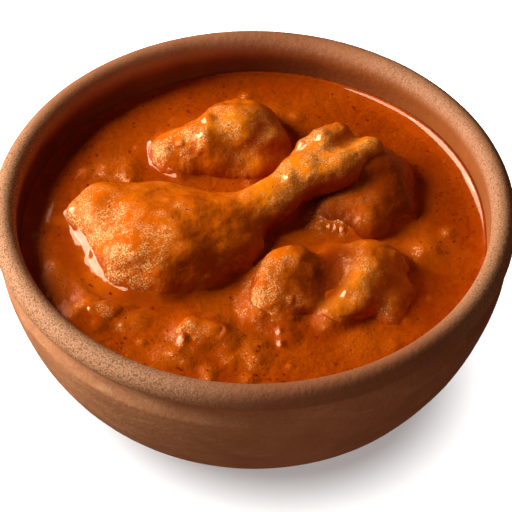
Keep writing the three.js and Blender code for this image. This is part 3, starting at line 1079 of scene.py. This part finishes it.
def flake(rng, x, y, height):
    """The points of one thin, tilted flake of 5 to 7 sides, ring by ring."""
    size = 0.32 + 0.95 * rng.random() ** 3
    sides = int(rng.integers(5, 8))
    turn = rng.random() * math.tau
    stretch = rng.uniform(0.5, 1.0)
    lean = rng.uniform(-0.18, 0.18, 2)
    verts = []
    for share, lift in FLAKE_RINGS:
        for k in range(sides):
            a = math.tau * k / sides
            r = size * rng.uniform(0.75, 1.15) * share
            px, py = r * math.cos(a), r * math.sin(a) * stretch
            dx = px * math.cos(turn) - py * math.sin(turn)
            dy = px * math.sin(turn) + py * math.cos(turn)
            verts.append((x + dx, y + dy, height + lift + lean[0] * dx + lean[1] * dy))
    return verts


def make_flakes(material):
    rng = np.random.default_rng(12)
    verts, faces = [], []
    for place in flake_places(rng):
        points = flake(rng, *place)
        base, sides = len(verts), len(points) // 2
        verts += points
        faces.append([base + k for k in reversed(range(sides))])
        faces.append([base + sides + k for k in range(sides)])
        for k in range(sides):
            n = (k + 1) % sides
            faces.append([base + k, base + n, base + sides + n, base + sides + k])
    return make_mesh("spice_flakes", verts, faces, material, smooth=False)


# ------------------------------------------------------------------ building it all

# The bowl is drawn in two, its lip apart, so that a light can pass the lip alone.
clay = clay_material()
bowl, lip = make_bowl(clay), make_lip(clay)
for obj in (bowl, lip):
    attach(obj, "root")
    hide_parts("bowl")

gravy = make_gravy(gravy_material())
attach(gravy, "root")
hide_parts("gravy")

chicken = chicken_material()
for index, (node, piece) in enumerate(PIECES.items()):
    verts, faces = cast_skin(piece)
    verts = coat(verts, faces, 100 + 20 * index)
    fields = coat_fields(verts, faces, piece)
    verts, fields["wet"] = add_drops(verts, faces, piece.get("drops", []))
    obj = make_mesh("sauced_" + node, verts, faces, chicken, fields)
    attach(obj, "root")
    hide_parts(node)

flakes = make_flakes(flake_material())
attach(flakes, "root")

# ------------------------------------------------------------------ camera and floor

CAMERA_ELEVATION = math.radians(46.12)
CAMERA_DISTANCE = 940 * MM
CAMERA_AIM = Vector((1.0, 0.0, 50.2)) * MM
CAMERA_ROLL = math.radians(0.605)
FOCAL_PIXELS = 2411.5
IMAGE_PIXELS = 512
SENSOR = 36.0
FLOOR_HALF = 4000
FLOOR_HEIGHT = -0.2

back = Vector((0, -math.cos(CAMERA_ELEVATION), math.sin(CAMERA_ELEVATION)))
right = Vector((1, 0, 0))
up = Vector((0, math.sin(CAMERA_ELEVATION), math.cos(CAMERA_ELEVATION)))
turned_right = right * math.cos(CAMERA_ROLL) + up * math.sin(CAMERA_ROLL)
turned_up = up * math.cos(CAMERA_ROLL) - right * math.sin(CAMERA_ROLL)
camera = bpy.data.objects.new("camera", bpy.data.cameras.new("camera"))
placed = Matrix((turned_right, turned_up, back)).transposed().to_4x4()
placed.translation = CAMERA_AIM + back * CAMERA_DISTANCE
camera.matrix_world = placed
camera.data.sensor_width = SENSOR
camera.data.lens = FOCAL_PIXELS * SENSOR / IMAGE_PIXELS
camera.data.clip_start = 0.02
bpy.context.scene.collection.objects.link(camera)
bpy.context.scene.camera = camera


def floor_material():
    n = Nodes("pale_floor")
    shade = n.mix(n.remap(n.noise(3, 2), 0.3, 0.7), rgb(0.79, 0.79, 0.79), rgb(0.81, 0.81, 0.81))
    shader = n.add("BsdfDiffuse", {"Color": shade})
    n.put(n.add("OutputMaterial").inputs["Surface"], shader.outputs[0])
    return n.owner


corners = [(-1, -1), (1, -1), (1, 1), (-1, 1)]
corners = [(x * FLOOR_HALF, y * FLOOR_HALF, FLOOR_HEIGHT) for x, y in corners]
floor = make_mesh("floor", corners, [(0, 1, 2, 3)], floor_material(), smooth=False)
floor.visible_diffuse = False
floor.visible_glossy = False
floor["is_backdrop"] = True

# ------------------------------------------------------------------ light

LIGHT_DISTANCE = 1.3
LIGHT_AIM = Vector((0, 0, 0.06))
WARM = (1, 0.92, 0.76)


def softbox(
    name, lit, diameter, azimuth, elevation, brightness, unshaded_by=(), tint=(1, 1, 1)
):
    """A round light on a stand, aimed at the bowl, that lights the named objects only.

    `azimuth` is from the left side round to the back; `brightness` is what a white surface
    that faces the light shows. The objects `unshaded_by` let this light through.
    """
    azimuth, elevation = math.radians(azimuth), math.radians(elevation)
    lamp = bpy.data.objects.new(name, bpy.data.lights.new(name, "AREA"))
    lamp.data.shape = "DISK"
    lamp.data.size = diameter
    lamp.data.color = tint
    lamp.data.energy = brightness * math.pi**2 * ((diameter / 2) ** 2 + LIGHT_DISTANCE**2)
    level = math.cos(elevation)
    towards = Vector(
        (-level * math.cos(azimuth), level * math.sin(azimuth), math.sin(elevation))
    )
    lamp.location = towards * LIGHT_DISTANCE + LIGHT_AIM
    lamp.rotation_euler = towards.to_track_quat("Z", "Y").to_euler()
    bpy.context.scene.collection.objects.link(lamp)
    receivers = bpy.data.collections.new(name + "_lights")
    for obj in lit:
        receivers.objects.link(obj)
    lamp.light_linking.receiver_collection = receivers
    if unshaded_by:
        blockers = bpy.data.collections.new(name + "_is_shaded_by")
        for obj in unshaded_by:
            blockers.objects.link(obj)
        for entry in blockers.collection_objects:
            entry.light_linking.link_state = "EXCLUDE"
        lamp.light_linking.blocker_collection = blockers
    return lamp


# The key light comes low from the left. The food's share of it passes over the lip, which
# would otherwise leave the whole left of the gravy in its shadow.
KEY = {"diameter": 0.8, "azimuth": 12, "elevation": 28, "brightness": 1.65}
food = [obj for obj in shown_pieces() if obj not in (bowl, lip)]
softbox("key_light", food, **KEY, unshaded_by=[lip], tint=WARM)
softbox("bowl_key_light", [bowl, lip], **KEY)
softbox("bowl_fill_light", [bowl, lip], 1.2, -60, 12, 0.19)
# Two more reflections in the gravy's glossy edges, one to each side of the key light's.
for glint in (
    softbox("front_glint_light", [gravy], 0.7, -20, 42, 1.0, [lip], WARM),
    softbox("back_glint_light", [gravy], 0.8, 46, 26, 1.2, [lip], WARM),
):
    glint.visible_diffuse = False
# A weak light from the back right on the shaded sides of the chicken.
pieces = [obj for obj in food if obj.name.startswith("sauced_")]
chicken_fill = softbox("chicken_fill_light", pieces, 1.6, 125, 62, 0.13, tint=WARM)
chicken_fill.visible_glossy = False
# The floor's own light, and one that nothing shades, which keeps its shadow pale.
softbox("floor_light", [floor], 3.2, 42, 68, 3.35)
softbox("floor_fill_light", [floor], 2.4, 90, 80, 0.42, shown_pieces())

sky = Nodes("studio", world=True)
direction = sky.add("TexCoord").outputs["Generated"]
upward = sky.add("SeparateXYZ", {"Vector": direction}).outputs["Z"]
tint = sky.mix(sky.remap(upward, -0.1, 0.4), rgb(0.13, 0.070, 0.050), rgb(0.06, 0.038, 0.025))
light = sky.add("Background", {"Color": tint, "Strength": 1.0})
sky.put(sky.add("OutputWorld").inputs["Surface"], light.outputs[0])
bpy.context.scene.world = sky.owner

bpy.context.scene.view_settings.view_transform = "Standard"
